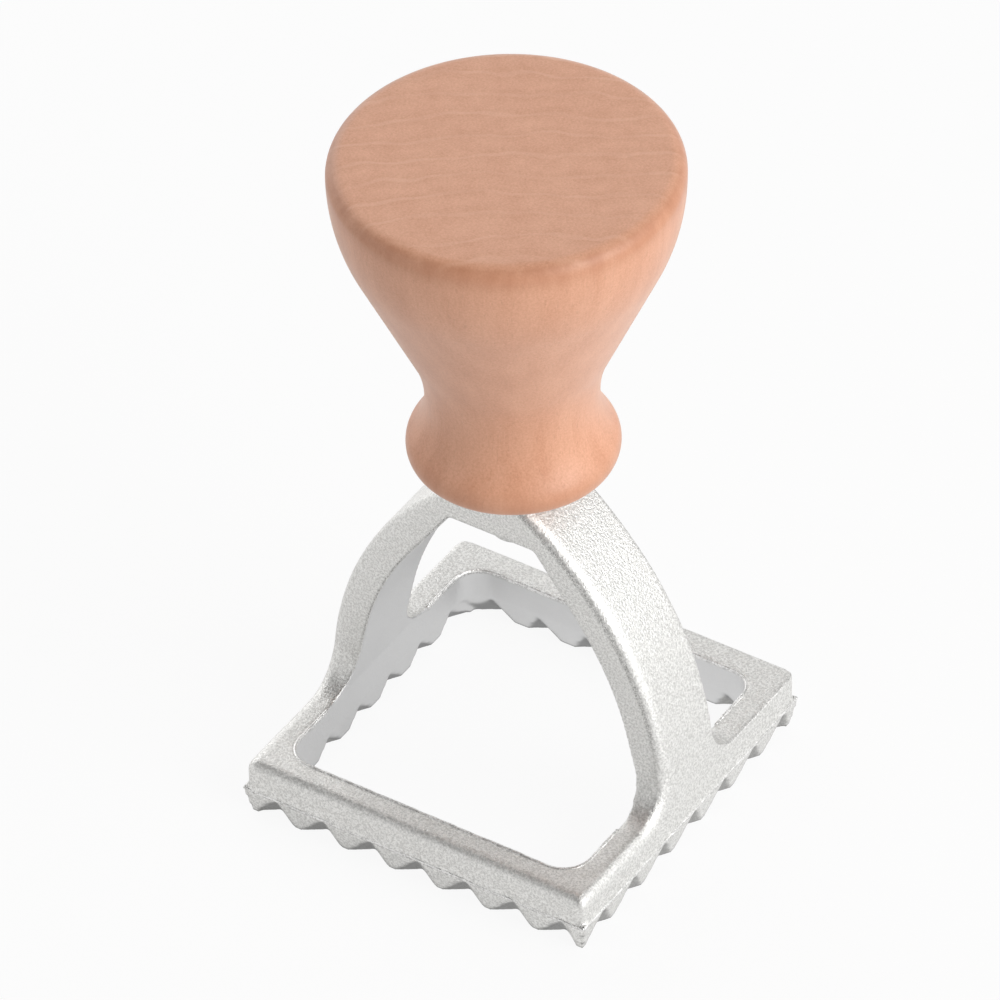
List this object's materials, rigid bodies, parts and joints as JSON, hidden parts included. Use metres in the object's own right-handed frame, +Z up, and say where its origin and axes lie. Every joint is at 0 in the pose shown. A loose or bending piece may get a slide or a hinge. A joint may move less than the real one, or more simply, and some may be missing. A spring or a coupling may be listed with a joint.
{
  "type": "ravioli stamp",
  "caption": "Hand stamp for square ravioli: a cast aluminium square with a zigzag cutting edge, an arched yoke over it and a turned beech knob on top.",
  "frame": {"origin": "centre of the square on the plane that the cutting edge rests on", "axes": "+Z up from the cutting edge to the knob, X from one leg of the arch to the other"},
  "size_m": [0.058, 0.058, 0.1117],
  "materials": {
    "cutter": "sand cast, fine sparkling grain, satin",
    "handle": "turned beech, satin",
    "screw": "plain zinc plated steel"
  },
  "bodies": {
    "root": {"cutter": "cutter", "handle": "handle", "screw": "screw"}
  },
  "joints": []
}
